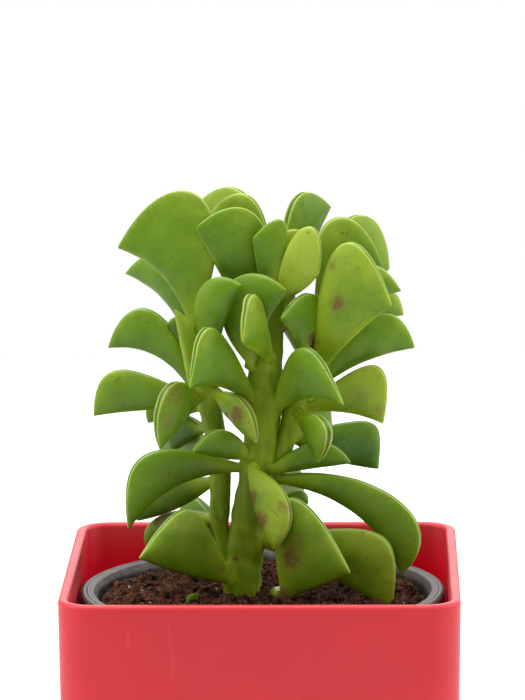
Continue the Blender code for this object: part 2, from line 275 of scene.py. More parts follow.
class Finish(Bench):
    """A material being written. Constants go straight on the shader's own sockets."""

    def __init__(self, name, **constants):
        self.material = bpy.data.materials.new(name)
        self.material.use_nodes = True
        super().__init__(self.material.node_tree)
        self.shader = self.tree.nodes["Principled BSDF"]
        for key, value in constants.items():
            self.shader.inputs[key.replace("_", " ")].default_value = value
        self.place = self.node("ShaderNodeTexCoord", out="Object")

    def attributes(self, *names):
        """Values that the piece's own points carry."""
        return [
            self.node("ShaderNodeAttribute", {"attribute_name": name}, out="Fac") for name in names
        ]

    def noise(self, size, detail=3.0, roughness=0.55, stretch=(1, 1, 1)):
        """Noise with features about size millimetres across, stretched along each axis."""
        scale = tuple(1 / s for s in stretch)
        scaled = self.node("ShaderNodeMapping", {}, {"Vector": self.place, "Scale": scale})
        values = {"Scale": 1 / (size * MM), "Detail": detail, "Roughness": roughness}
        return self.node("ShaderNodeTexNoise", {}, {"Vector": scaled, **values})

    def height(self):
        return self.node("ShaderNodeSeparateXYZ", {}, {"Vector": self.place}, "Z")

    def wash(self, factor, shade):
        """Lays a shade over the colour so far, fully where the factor is 1."""
        self.colour = self.mix(factor, self.colour, shade)

    def close(self, roughness, relief, depth, strength, **links):
        """Joins the colour, the roughness and a relief some millimetres deep to the shader."""
        values = {"Strength": strength, "Distance": depth * MM, "Height": relief}
        bump = self.node("ShaderNodeBump", {}, values)
        self.feed(Base_Color=self.colour, Roughness=roughness, Normal=bump, **links)
        return self.material

    def feed(self, **links):
        for key, value in links.items():
            self.tree.links.new(value.socket, self.shader.inputs[key.replace("_", " ")])


# Settings


def tint(name, description, red, green, blue):
    """A colour that a user may change, from 0-255 screen values."""
    return FloatVectorProperty(
        name=name, description=description, subtype="COLOR", default=linear(red, green, blue)
    )


def length(name, description, millimetres):
    """A length that a user may change."""
    return FloatProperty(
        name=name, description=description, unit="LENGTH", default=millimetres * MM
    )


class POTTED_PG_planter(bpy.types.PropertyGroup):
    plastic: tint("Planter plastic", "Colour of the square planter", 206, 44, 52)
    corner: length("Corner radius", "Radius of the planter's upright corners at the rim", 7.5)
    wall: length("Wall", "Thickness of the planter's wall", 2.2)
    edge: length("Edge rounding", "Rounding of the rim and of the foot", 0.9)


class POTTED_PG_nursery(bpy.types.PropertyGroup):
    plastic: tint("Nursery plastic", "Colour of the round nursery pot", 46, 46, 46)
    # Lip colour: partly dried soil, partly painted highlight on the lip.
    lip_soil_and_highlight: tint("Dust", "Colour of the dried soil on the nursery pot's lip", 128, 118, 108)


class POTTED_PG_soil(bpy.types.PropertyGroup):
    dark: tint("Damp soil", "Colour of the soil in its hollows", 26, 15, 11)
    light: tint("Dry crumbs", "Colour of the driest crumbs", 142, 92, 66)
    crumb: length("Crumb size", "Radius of a middling crumb", 0.55)
    seed: IntProperty(name="Seed", description="Lays the crumbs out differently", default=7)


class POTTED_PG_plant(bpy.types.PropertyGroup):
    leaf: tint("Leaf", "Main colour of the blades", 98, 137, 12)
    leaf_pale: tint("Pale leaf", "Colour of the lightest blades and of all edges", 142, 168, 40)
    leaf_dark: tint("Dark leaf", "Colour of the darkest blades", 58, 98, 4)
    young: tint("Young leaf", "Colour of the newest blades", 150, 176, 44)
    stem: tint("Stem", "Colour of the stems", 126, 150, 12)
    scar: tint("Scar", "Colour of scars and dried spots", 106, 72, 32)


# Planter


DRAFT = math.tan(math.radians(0.68))
FLOOR_GAP = 0.3 * MM


def rounded_square(half, corner, z, steps=14, flats=6):
    """A level ring with rounded corners, its straight sides cut into short lengths."""

    def on_corner(start, angle):
        centre = Vector((half - corner, half - corner, 0))
        centre.rotate(Matrix.Rotation(start, 3, "Z"))
        return (centre.x + corner * math.cos(angle), centre.y + corner * math.sin(angle), z)

    ring = []
    for quarter in range(4):
        start = quarter * QUARTER
        ring += [on_corner(start, start + QUARTER * step / steps) for step in range(steps + 1)]
        here, there = Vector(ring[-1]), Vector(on_corner(start + QUARTER, start + QUARTER))
        ring += [tuple(here.lerp(there, step / flats)) for step in range(1, flats)]
    return ring


def planter_finish(settings):
    """Injection-moulded plastic: a soft satin sheen, faint flow clouds, fine scuffs, a painted
    highlight on the rounded edges and a painted deep-red shade in the hollow.
    """
    finish = Finish("planter_plastic", IOR=1.5, Specular_IOR_Level=0.35)
    clouds, grain = finish.noise(26, 2.0), finish.noise(0.35, 2.0)
    scuffs = finish.noise(2.4, 4.0, 0.6, (1, 1, 9))
    rim, inside = finish.attributes("rim", "inside")
    base = tuple(settings.plastic)
    finish.colour = tinted(base, 0.9, 0.78, 0.8)
    finish.wash(finish.climb(clouds, 0.3, 0.7), base)
    # Painted highlight: the rounded rim, the top of the sides and the rounded foot are washed a
    # paler coral, as if lit.
    finish.wash(finish.climb(rim, 0.35, 1.0) * 0.75, tinted(base, 1.06, 1.5, 1.45))
    finish.wash(finish.climb(scuffs, 0.62, 0.8) * 0.1, linear(226, 150, 144))
    # Painted shade: the planter's hollow is washed a deeper, purer red than the outside, standing
    # in for the shade and red bounce light within it.
    finish.wash(inside * 0.95, linear(244, 2, 38))
    foot = finish.climb(finish.height(), 0.02, 0.0) * finish.climb(clouds, 0.45, 0.6)
    finish.wash(foot * 0.18, linear(120, 60, 52))
    roughness = 0.36 + 0.14 * clouds + 0.1 * finish.climb(scuffs, 0.5, 0.75)
    return finish.close(roughness, grain * 0.7 + scuffs * 0.3, 0.05, 0.35)


class POTTED_OT_planter(bpy.types.Operator):
    """Square planter with leaning sides, rounded corners and a rounded rim"""

    bl_idname = "potted.planter"
    bl_label = "Square Planter"

    def execute(self, context):
        settings = context.scene.potted_planter
        edge, corner, wall = settings.edge, settings.corner, settings.wall
        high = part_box("planter")[1]
        top, height = high.x, high.z
        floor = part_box("nursery_pot")[0].z - FLOOR_GAP
        foot = top - height * DRAFT
        hollow = 2 * MM
        rings, rim, inner = [], [], []

        # Each ring carries how much painted highlight its rounded edge gets, and whether it takes
        # the painted deep-red shade of the hollow.
        def ring(half, radius, z, edge_highlight=0.0, inside=0.0):
            rings.append(rounded_square(half, radius, z))
            rim.append(edge_highlight)
            inner.append(inside)

        ring(foot - edge - 3 * MM, corner - edge - 3 * MM, 0.6 * MM)
        ring(foot - edge - 2 * MM, corner - edge - 2 * MM, 0.0)
        for turn in np.linspace(0, QUARTER, 6):
            inset = edge * (1 - math.sin(turn))
            ring(foot - inset, corner - inset, edge * (1 - math.cos(turn)), 0.3)
        for share in np.linspace(0, 1, 12)[1:]:
            z = edge + (height - 2 * edge) * share
            ring(foot + (top - foot) * (z / height), corner, z, 0.35 * max(0, share * 11 - 10))
        for turn in np.linspace(0.2, QUARTER, 6):
            inset = edge * (1 - math.cos(turn))
            ring(top - inset, corner - inset, height - edge * (1 - math.sin(turn)), 1.0)
        for turn in np.linspace(0, QUARTER, 6):
            inset = wall - edge + edge * math.sin(turn)
            ring(top - inset, corner - inset, height - edge * (1 - math.cos(turn)), 1.0)
        for share in np.linspace(1, 0, 10)[1:]:
            z = floor + hollow + (height - edge - floor - hollow) * share
            ring(top - wall - (height - z) * DRAFT, corner - wall, z, 0.0, 1.0)
        for turn in np.linspace(0, QUARTER, 5)[1:]:
            inset = hollow * (1 - math.cos(turn))
            half = top - wall - (height - floor) * DRAFT - inset
            z = floor + hollow * (1 - math.sin(turn))
            ring(half, corner - wall - inset, z, 0.0, 1.0)
        # The first mark carries the painted highlight on the rounded edges, the second the painted
        # shade of the hollow.
        marks = {
            "rim": np.append(np.repeat(rim, len(rings[0])), [0, 0]),
            "inside": np.append(np.repeat(inner, len(rings[0])), [0, 1]),
        }
        body = make_piece("planter_body", *shell(rings), planter_finish(settings), marks)
        settle(body, "planter_plastic", "planter")
        return {"FINISHED"}


# Nursery pot


def nursery_finish(settings):
    """Thin grey plastic, scuffed and dusted with dried soil, paler on its rolled lip: partly dried
    soil, partly painted highlight on the lip's top and ridges.
    """
    finish = Finish("nursery_plastic", IOR=1.48, Specular_IOR_Level=0.35)
    patches, specks = finish.noise(5, 4.0, 0.62), finish.noise(0.7, 3.0, 0.6)
    streaks = finish.noise(3, 3.0, 0.6, (1, 1, 0.12))
    (lip,) = finish.attributes("lip")
    base = tuple(settings.plastic)
    finish.colour = tinted(base, 0.7, 0.7, 0.7)
    finish.wash(finish.climb(patches, 0.35, 0.7), tinted(base, 1.35, 1.35, 1.35))
    # Pale coat: a thin layer of dried soil all over the pot, and on the lip partly painted
    # highlight on its top and ridges with painted shade in its grooves.
    dust_and_highlight_mask = finish.climb(patches + streaks * 0.5, 0.55, 1.0) * (0.12 + 0.6 * lip)
    finish.wash(dust_and_highlight_mask, tuple(settings.lip_soil_and_highlight))
    crumbs = finish.climb(specks, 0.66, 0.72) * finish.climb(finish.height(), 0.064, 0.070)
    finish.wash(crumbs * 0.8, linear(58, 38, 30))
    return finish.close(0.42 + 0.3 * dust_and_highlight_mask, specks * 0.5 + patches * 0.5, 0.12, 0.5)


class POTTED_OT_nursery(bpy.types.Operator):
    """Round nursery pot with a rolled, grooved lip"""

    bl_idname = "potted.nursery_pot"
    bl_label = "Nursery Pot"

    def execute(self, context):
        low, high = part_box("nursery_pot")
        rim, top, bottom = high.x / MM, high.z / MM, low.z / MM
        wall, width, band = 0.9, 3.1, top - 6.5
        base, roll = 28.0, 0.7
        mouth = rim - width + wall - 0.4

        def inner(z):
            return base + (mouth - base) * (z - bottom) / (top - bottom) - wall

        # Radius, height and how pale a lip it is, from the middle of the foot up and over: partly
        # dried soil, partly painted highlight on the lip's top and ridges and painted shade in its
        # grooves.
        profile = [(0.5, bottom + 1.4, 0), (base - 6.0, bottom + 1.4, 0)]
        for inset, up in ((5.2, 0), (0.8, 0), (0.25, 0.2), (0, 0.8)):
            profile.append((base - inset, bottom + up, 0))
        for share in np.linspace(0, 1, 9)[1:]:
            z = bottom + 0.8 + (band - bottom - 0.8) * share
            profile.append((inner(z) + wall, z, 0))
        for inset, up, lip in ((0.9, 0.02, 0.2), (0.35, 0.1, 0.3), (0.08, 0.4, 0.5)):
            profile.append((rim - inset, band + up, lip))
        for inset, up, lip in ((0.1, 2.2, 0.4), (0.28, 2.5, 0.1), (0.1, 2.8, 0.5)):
            profile.append((rim - inset, band + up, lip))
        profile += [(rim - 0.02, top - 2.6, 0.4), (rim - 0.3, top - 2.3, 0.1)]
        profile += [(rim - 0.06, top - 2.0, 0.7), (rim, top - 1.2, 0.8)]
        for turn in np.linspace(0, 1, 5)[1:] * QUARTER:
            inset, drop = 0.9 * (1 - math.cos(turn)), 0.9 * (1 - math.sin(turn))
            profile.append((rim - inset, top - drop, 1))
        for inset, drop, lip in ((1.15, 0.28, 0.2), (1.4, 0.04, 1), (1.75, 0, 1)):
            profile.append((rim - inset, top - drop, lip))
        profile += [(rim - 2.0, top - 0.22, 0.25), (rim - 2.25, top - 0.03, 0.9)]
        for turn in np.linspace(0, 1, 4)[1:] * QUARTER:
            z = top - 0.05 - roll * (1 - math.cos(turn))
            profile.append((rim - 2.4 - roll * math.sin(turn), z, 0.8))
        # Down the inner wall the pale lip mark fades: painted shade deeper in the pot.
        for drop in (1.2, 1.9, 2.5, 4, 8, 20, 40, 60):
            profile.append((inner(top - drop), top - drop, max(0.0, 0.6 - drop * 0.12)))
        profile += [(inner(bottom) - 0.2, bottom + 2.4, 0), (inner(bottom) - 1.2, bottom + 1.7, 0)]
        profile += [(0.5, bottom + 1.9, 0)]
        bearings = around(168)
        sway = 1 - 0.0012 * (0.5 + 0.5 * np.sin(3 * bearings + 0.6))
        dip = 0.5 + 0.5 * np.sin(2 * bearings + 1.0)
        rings = [
            level_ring(bearings, radius * sway, z - 0.1 * (z > band) * dip) * MM
            for radius, z, _ in profile
        ]
        lip = np.append(np.repeat([mark for _, _, mark in profile], len(bearings)), [0, 0])
        material = nursery_finish(context.scene.potted_nursery)
        pot = make_piece("nursery_pot_body", *shell(rings), material, {"lip": lip})
        settle(pot, "nursery_plastic", "nursery_pot")
        return {"FINISHED"}


# Soil


SOIL_REACH = 0.036
CLOD_SEED = 31


def soil_top():
    """The soil's height as a smooth function of place, fitted to the packed soil's top."""
    points = np.array([v.co for v in NODES["potting_soil"].data.vertices])
    top = points[points[:, 2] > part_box("potting_soil")[1].z - 6.5 * MM]
    top = top[np.hypot(top[:, 0], top[:, 1]) > 9 * MM]

    def terms(x, y):
        reach = (x * x + y * y) / SOIL_REACH**2
        lean = [x / SOIL_REACH, y / SOIL_REACH]
        return np.stack([np.ones_like(x), reach, reach**2, *lean], axis=-1)

    fit = np.linalg.lstsq(terms(top[:, 0], top[:, 1]), top[:, 2], rcond=None)[0]

    return lambda x, y: terms(x, y) @ fit


def clods(x, y):
    """Uneven lumps a few millimetres across, from -1 to 1."""
    flat = np.stack([x, y, 0 * x], axis=-1)
    rough = 0.6 * ripple(flat, 9 * MM, CLOD_SEED) + 0.5 * ripple(flat, 3.6 * MM, CLOD_SEED + 1)
    return rough + 0.35 * ripple(flat, 1.7 * MM, CLOD_SEED + 2)


def soil_finish(name, dark, light, spread=1.0):
    """Crumbly peat: dark damp hollows, lighter dry faces and a dull, rough skin."""
    finish = Finish(name, IOR=1.35, Specular_IOR_Level=0.2)
    coarse, fine = finish.noise(4.5, 4.0, 0.65), finish.noise(0.6, 4.0, 0.7)
    finish.colour = dark
    finish.wash(finish.climb(coarse * 0.45 + fine * 0.55, 0.42, 0.66) * spread, light)
    finish.wash(finish.climb(finish.noise(1.6, 2.0), 0.56, 0.7) * 0.35, linear(104, 52, 34))
    return finish.close(0.78 + 0.2 * fine, fine, 0.35, 0.9)


def scatter_tree(name):
    """Points strewn over a surface, each carrying an irregular lump, made one mesh."""
    tree = bpy.data.node_groups.new(name, "GeometryNodeTree")
    sockets = (
        ("Ground", "NodeSocketGeometry", None),
        ("Per Square Metre", "NodeSocketFloat", 1e6),
        ("Smallest", "NodeSocketFloat", 0.2 * MM),
        ("Largest", "NodeSocketFloat", 0.8 * MM),
        ("Stretch", "NodeSocketVector", (1, 1, 1)),
        ("Lumpiness", "NodeSocketFloat", 0.4),
        ("Facets", "NodeSocketInt", 2),
        ("Seed", "NodeSocketInt", 0),
        ("Finish", "NodeSocketMaterial", None),
    )
    for label, kind, start in sockets:
        socket = tree.interface.new_socket(name=label, in_out="INPUT", socket_type=kind)
        if start is not None:
            socket.default_value = start
    tree.interface.new_socket(name="Lumps", in_out="OUTPUT", socket_type="NodeSocketGeometry")
    bench = Bench(tree)
    entry = tree.nodes.new("NodeGroupInput")

    def given(label):
        return Value(bench, entry.outputs[label])

    def chance(kind, values, seed, out=0):
        values = {**values, "Seed": seed}
        return bench.node("FunctionNodeRandomValue", {"data_type": kind}, values, out)

    def vector(operation, values):
        return bench.node("ShaderNodeVectorMath", {"operation": operation}, values)

    def shape(kind, **values):
        return bench.node("GeometryNode" + kind, {}, values)

    ground, density, seed = given("Ground"), given("Per Square Metre"), given("Seed")
    least, most = given("Smallest"), given("Largest")
    scattered = shape("DistributePointsOnFaces", Mesh=ground, Density=density, Seed=seed)
    lump = shape("MeshIcoSphere", Radius=1.0, Subdivisions=given("Facets"))
    turn = chance("FLOAT_VECTOR", {0: (-math.pi,) * 3, 1: (math.pi,) * 3}, seed)
    size = chance("FLOAT", {2: 0.0, 3: 1.0}, seed + 11, 1)
    uneven = chance("FLOAT_VECTOR", {0: (0.7, 0.7, 0.6), 1: (1.3, 1.2, 1.0)}, seed + 23)
    scale = vector("MULTIPLY", {0: uneven, 1: given("Stretch")})
    scale = vector("SCALE", {0: scale, "Scale": least + (most - least) * size * size})
    placed = shape("InstanceOnPoints", Points=scattered, Instance=lump, Rotation=turn, Scale=scale)
    whole = shape("RealizeInstances", Geometry=placed)
    noise = {"Scale": 1 / (1.1 * MM), "Detail": 2.0}
    grain = bench.node("ShaderNodeTexNoise", {}, noise, "Color")
    centred = vector("SUBTRACT", {0: grain, 1: (0.5, 0.5, 0.5)})
    shift = vector("SCALE", {0: centred, "Scale": given("Lumpiness") * most})
    shaped = shape("SetPosition", Geometry=whole, Offset=shift)
    dressed = shape("SetMaterial", Geometry=shaped, Material=given("Finish"))
    leave = tree.nodes.new("NodeGroupOutput")
    tree.links.new(dressed.socket, leave.inputs[0])
    return tree


def strew(name, ground, tree, **inputs):
    """Runs a scatter tree over a copy of the ground and keeps the lumps as a plain mesh."""
    carrier = bpy.data.objects.new(name, ground.copy())
    bpy.context.scene.collection.objects.link(carrier)
    modifier = carrier.modifiers.new("Scatter", "NODES")
    modifier.node_group = tree
    for item in tree.interface.items_tree:
        key = item.name.replace(" ", "_")
        if item.in_out == "INPUT" and key in inputs:
            modifier[item.identifier] = inputs[key]
    carrier.update_tag()
    graph = bpy.context.evaluated_depsgraph_get()
    made = bpy.data.meshes.new_from_object(carrier.evaluated_get(graph), depsgraph=graph)
    carrier.modifiers.remove(modifier)
    old = carrier.data
    carrier.data = made
    made.name = name
    bpy.data.meshes.remove(old)
    return carrier


# What lies loose on the soil: how many to a square metre, smallest and largest against the
# crumb setting, stretch, lumpiness, facets, its dark and light colours (none: the soil's own)
# and how far it goes from one to the other.
CRUMBS = {
    "soil_crumbs": (0.5e6, 0.35, 2.5, (1, 1, 0.85), 0.9, 2, None, 0.75),
    "soil_grains": (1.5e6, 0.2, 0.7, (1, 1, 1), 0.8, 1, None, 1.0),
    "soil_bark": (
        *(0.06e6, 0.6, 1.7, (1.6, 0.7, 0.35), 0.6, 2),
        *((linear(92, 54, 36), linear(146, 98, 66)), 1.0),
    ),
    "soil_grit": (
        *(0.018e6, 0.3, 1.0, (1, 0.9, 0.8), 0.5, 2),
        *((linear(176, 142, 104), linear(226, 206, 176)), 1.0),
    ),
    "soil_fibres": (
        *(0.12e6, 0.14, 0.24, (12, 0.8, 0.8), 1.2, 2),
        *((linear(96, 62, 42), linear(160, 118, 84)), 1.0),
    ),
}


class POTTED_OT_soil(bpy.types.Operator):
    """Potting soil: an uneven crumbly top with loose crumbs, bark bits, grit and fibres"""

    bl_idname = "potted.soil"
    bl_label = "Potting Soil"

    def execute(self, context):
        settings = context.scene.potted_soil
        low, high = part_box("potting_soil")
        edge = high.x
        height = soil_top()
        bearings = around(150)
        rings = []
        for share in np.linspace(1, 0.02, 46) ** 0.85:
            ring = level_ring(bearings, edge * share, 0.0)
            x, y = ring[:, 0], ring[:, 1]
            ring[:, 2] = height(x, y) + MM * clods(x, y)
            lift = 1.8 * MM * smoothstep(0.5, 0.9, share) - 0.5 * MM * smoothstep(0.95, 1.0, share)
            ring[:, 2] += lift
            rings.append(ring)
        ground_points, ground_faces = shell(rings, close_start=False)
        foot = [
            level_ring(bearings, edge * radius, low.z + z * MM)
            for radius, z in ((0.745, 0.0), (0.765, 0.6), (0.77, 1.4))
        ]
        tones = tuple(settings.dark), tuple(settings.light)
        bed = make_piece("soil_bed", *shell(foot + rings), soil_finish("soil_bed", *tones, 0.55))
        settle(bed, "soil", "potting_soil")

        inner = ground_points[:, 0] ** 2 + ground_points[:, 1] ** 2 < (edge * 0.975) ** 2
        keep = [face for face in ground_faces if all(inner[i] for i in face)]
        ground = bpy.data.meshes.new("soil_ground")
        ground.from_pydata([tuple(p) for p in ground_points], [], keep)
        ground.update()
        tree = scatter_tree("soil_scatter")
        for place, (name, kind) in enumerate(CRUMBS.items()):
            density, least, most, stretch, lumps, facets, own_tones, spread = kind
            piece = strew(
                name,
                ground,
                tree,
                Per_Square_Metre=density,
                Smallest=least * settings.crumb,
                Largest=most * settings.crumb,
                Stretch=stretch,
                Lumpiness=lumps,
                Facets=facets,
                Seed=settings.seed + 5 * place,
                Finish=soil_finish(name, *(own_tones or tones), spread),
            )
            settle(piece, "soil")
        bpy.data.meshes.remove(ground)
        return {"FINISHED"}


# Stems


def stem_axis(name):
    """Centres and radii of a packed stem's level rings, from the bottom up."""
    points = np.array([v.co for v in NODES[name].data.vertices])
    heights = np.unique(np.round(points[:, 2], 5))
    centres, radii = [], []
    for z in heights:
        ring = np.unique(np.round(points[np.abs(points[:, 2] - z) < 6e-6], 6), axis=0)
        if len(ring) < 8:
            continue
        centre = ring.mean(0)
        centres.append(centre)
        radii.append(np.linalg.norm(ring - centre, axis=1).mean())
    return np.array(centres), np.array(radii)


def stem_point(name, z):
    """Centre and radius of a stem at a height."""
    centres, radii = stem_axis(name)
    at = [np.interp(z, centres[:, 2], centres[:, axis]) for axis in range(3)]
    return np.array(at), np.interp(z, centres[:, 2], radii)


def stem_finish(settings):
    """Fleshy stem: yellow-green with faint upright streaks, darker rings and dry scars."""
    finish = Finish(
        "stem_green",
        IOR=1.42,
        Specular_IOR_Level=0.3,
        Subsurface_Weight=0.1,
        Subsurface_Scale=1.2 * MM,
    )
    base = tuple(settings.stem)
    pale = tinted(base, 1.5, 1.35, 2.2)
    streaks = finish.noise(1.1, 3.0, 0.55, (1, 1, 7))
    clouds, flecks = finish.noise(7, 2.0), finish.noise(0.35, 2.0)
    collar, scar = finish.attributes("collar", "scar")
    finish.colour = tinted(base, 0.62, 0.74, 0.6)
    finish.wash(finish.climb(streaks * 0.5 + clouds * 0.5, 0.38, 0.64), base)
    finish.wash(finish.climb(flecks, 0.6, 0.72) * 0.35, pale)
    finish.wash(collar * 0.4, pale)
    scar = finish.climb(scar + (flecks - 0.5) * 0.9, 0.45, 0.75)
    finish.wash(scar * 0.85, tuple(settings.scar))
    relief = streaks * 0.5 + flecks * 0.3 + collar * 0.2
    return finish.close(0.42 + 0.12 * clouds + 0.25 * scar, relief, 0.25, 0.4)


STEM_SEED = 91
# Each stem: the leaves it bears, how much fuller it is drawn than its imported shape, and its
# scars as (bearing in degrees, height and size in millimetres).
STEMS = {
    "main_stem": (
        *("leaf_main", 1.2),
        ((-70, 98.6, 1.1), (-80, 92.4, 0.9), (-118, 81.5, 1.3), (-60, 78.6, 0.9)),
    ),
    "left_branch": ("leaf_left", 1.12, ((-110, 90.0, 0.8), (-60, 101.0, 0.6))),
    "right_branch": ("leaf_right", 1.05, ((-100, 118.5, 0.5),)),
    "front_shoot": ("leaf_front", 1.0, ()),
}


def stem_path(name, joints):
    """The middle line and girth of a finished stem, in short steps from its foot up."""
    centres, radii = stem_axis(name)
    radii[-1] = radii[-2] * 0.85
    if name.endswith("branch"):
        root, _ = stem_point("main_stem", centres[0][2] - 9 * MM)
        down = centres[0] - 0.4 * (centres[1] - centres[0])
        elbow = (down + root) / 2 + np.array([0, 0, -1.2 * MM])
        centres = np.vstack([root, elbow, centres])
        radii = np.concatenate([[radii[0] * 1.15, radii[0] * 1.15], radii])
    lengths = np.linalg.norm(np.diff(centres, axis=0), axis=1)
    along = np.concatenate([[0], np.cumsum(lengths)])
    end = along[-1]
    if name == "front_shoot":
        end = np.interp(joints[0][2] - 0.6 * MM, centres[:, 2], along)
    reach = np.linspace(0, end, int(end / (0.45 * MM)))
    return flow(reach, along, centres), flow(reach, along, radii)


def make_stem(name, family, fullness, scars, material):
    """One finished stem, swollen at its leaf joints and scarred where leaves have dropped."""
    joints = [leaf_base(node) for key, node in NODES.items() if key.startswith(family)]
    path, girth = stem_path(name, joints)
    girth = girth * fullness
    bearings = around(40)
    none = np.zeros(len(bearings))
    rings, collars, marks = [], [], []
    for k, middle in enumerate(path):
        ahead = unit(path[min(k + 1, len(path) - 1)] - path[max(k - 1, 0)])
        right = unit(np.cross([0, 1, 0], ahead))
        front = np.cross(ahead, right)
        spokes = np.outer(np.cos(bearings), right) + np.outer(np.sin(bearings), front)
        ring = middle + spokes * girth[k]
        swell = none
        for joint in joints:
            away = np.linalg.norm(ring - joint, axis=1)
            swell = np.maximum(swell, 1 - smoothstep(0.8 * MM, 3.6 * MM, away))
        ring = middle + spokes * (girth[k] * (1 + 0.14 * swell))[:, None]
        wave = 0.05 * ripple(ring, 5 * MM, STEM_SEED)
        wave += 0.02 * ripple(ring * [1, 1, 0.2], 2 * MM, STEM_SEED + 1)
        ring = middle + (ring - middle) * (1 + wave)[:, None]
        mark = none
        for bearing, z, size in scars:
            centre, radius = stem_point(name, z * MM)
            turn = math.radians(bearing)
            spot = centre + radius * np.array([math.cos(turn), math.sin(turn), 0])
            away = np.linalg.norm((ring - spot) * [1, 1, 1.6], axis=1)
            mark = np.maximum(mark, 1 - smoothstep(0.2 * size * MM, 1.6 * size * MM, away))
        rings.append(ring)
        collars.append(swell)
        marks.append(mark)
    top, last = path[-1], rings[-1]
    rise = unit(path[-1] - path[-2])
    for turn in (0.35, 0.7, 1.05, 1.35):
        dome = top + (last - top) * math.cos(turn) + rise * girth[-1] * math.sin(turn) * 0.8
        rings.append(dome)
        collars.append(none)
        marks.append(none)
    values = {
        "collar": np.append(np.concatenate(collars), [0, 0]),
        "scar": np.append(np.concatenate(marks), [0, 0]),
    }
    return make_piece(name + "_flesh", *shell(rings), material, values)


class POTTED_OT_stems(bpy.types.Operator):
    """Main stem, its two branches and the small front shoot, with swollen leaf joints"""

    bl_idname = "potted.stems"
    bl_label = "Stems"

    def execute(self, context):
        material = stem_finish(context.scene.potted_plant)
        for name, (family, fullness, scars) in STEMS.items():
            settle(make_stem(name, family, fullness, scars, material), "stem", name)
        return {"FINISHED"}


# Leaves

# Half of a blade's cross-section, from the keel up and over the lip into the groove:
# share of the way from keel to crest, share of half the thickness, lip, and window.
HALF_SECTION = (
    (0.0, 0.0, 0.0, 0.0), (0.012, 0.24, 0.0, 0.0), (0.05, 0.48, 0.0, 0.0), (0.12, 0.68, 0.0, 0.0),
    (0.22, 0.83, 0.0, 0.0), (0.34, 0.93, 0.0, 0.0), (0.47, 0.985, 0.0, 0.0), (0.6, 1.0, 0.0, 0.0),
    (0.72, 0.965, 0.0, 0.0), (0.82, 0.885, 0.0, 0.0), (0.895, 0.775, 0.0, 0.0),
    (0.945, 0.655, 0.15, 0.0), (0.978, 0.53, 0.55, 0.0), (0.995, 0.42, 1.0, 0.0),
    (1.0, 0.32, 1.0, 0.0), (0.995, 0.24, 0.5, 0.1), (0.98, 0.16, 0.1, 0.7), (0.962, 0.08, 0.0, 1.0),
    (0.956, 0.0, 0.0, 1.0),
)

# How each blade differs, in the order of their numbers: tone from dark -1 to pale 1,
# yellowing, and drying of the lips. The rest are as PLAIN.
PLAIN = (0.0, 0.0, 0.4)
TONES = {
    "leaf_main": (
        (0.25, 0.1, 0.1), (0.6, 0.45, 0.2), (-0.4, 0.1, 0.1), (-0.25, 0.1, 0.25), (0.75, 0.9, 0.6),
        (-0.35, 0.05, 0.1), (-0.3, 0.15, 0.2), (-0.5, 0.0, 0.1), (-0.1, 0.15, 0.2),
        (0.0, 0.15, 0.2), (0.45, 0.35, 0.35), (-0.15, 0.1, 0.3), (-0.1, 0.1, 0.5), (0.35, 0.5, 0.6),
        (0.8, 0.35, 0.6), (-0.05, 0.1, 0.6), PLAIN, PLAIN, (0.1, 0.2, 0.8),
    ),
    "leaf_front": (
        (0.3, 0.3, 0.1),
    ),
    "leaf_left": (
        (-0.1, 0.3, 0.6), (-0.35, 0.0, 0.1), (-0.8, 0.0, 0.0), (0.35, 0.35, 0.9), (-0.05, 0.1, 0.2),
        (-0.05, 0.45, 0.2), (-0.05, 0.15, 0.5), PLAIN, (-0.9, 0.0, 0.0), (-0.05, 0.25, 0.5),
        (-0.15, 0.1, 0.3), (0.1, 0.35, 0.9), (0.2, 0.4, 0.5),
    ),
    "leaf_right": (
        (-0.85, 0.0, 0.1), (-0.1, 0.1, 0.3), (0.95, 0.6, 0.8), (0.0, 0.2, 0.2), (-0.8, 0.0, 0.1),
        (0.65, 0.7, 0.2), (-0.1, 0.1, 0.2), (0.2, 0.2, 0.3), (0.6, 0.2, 0.5), (0.3, 0.15, 0.5),
        (0.6, 0.25, 0.3),
    ),
}
# Dried spots: share of the way along and up, radius in millimetres, strength.
SPOTS = {
    "leaf_main_01": ((0.1, 0.5, 1.6, 0.7), (0.5, 0.1, 1.8, 0.5), (0.8, 0.5, 1.2, 0.5)),
    "leaf_main_02": ((0.62, 0.3, 1.0, 0.9), (0.4, 0.9, 2.0, 0.45)),
    "leaf_main_04": ((0.8, 0.5, 1.0, 0.8), (0.45, 0.8, 1.8, 0.4)),
    "leaf_main_05": ((0.3, 0.1, 2.6, 0.9), (0.6, 0.12, 3.0, 1.0), (0.5, 0.9, 2.4, 0.7)),
    "leaf_main_11": ((0.5, 0.8, 3.2, 0.5),),
    "leaf_front_01": ((0.32, 0.42, 3.4, 1.0), (0.04, 0.3, 2.4, 1.0), (0.5, 0.55, 2.6, 0.7)),
    "leaf_left_01": ((0.4, 0.5, 3.4, 0.85), (0.5, 0.85, 3.0, 0.85)),
    "leaf_left_02": ((0.5, 0.1, 1.8, 0.7),),
    "leaf_left_04": ((0.5, 0.6, 3.8, 0.75), (0.35, 0.1, 1.6, 0.9)),
    "leaf_left_06": ((0.45, 0.85, 4.4, 0.6), (0.7, 0.6, 2.6, 0.6)),
    "leaf_left_12": ((0.93, 0.5, 1.0, 0.5), (0.7, 0.75, 1.6, 0.35)),
    "leaf_right_03": ((0.5, 0.5, 4.2, 0.45), (0.85, 0.5, 2.6, 0.55)),
    "leaf_right_06": ((0.42, 0.45, 2.8, 1.0), (0.4, 0.9, 2.4, 0.7)),
    "leaf_right_07": ((0.1, 0.6, 2.2, 1.0), (0.05, 0.8, 2.2, 1.0)),
}
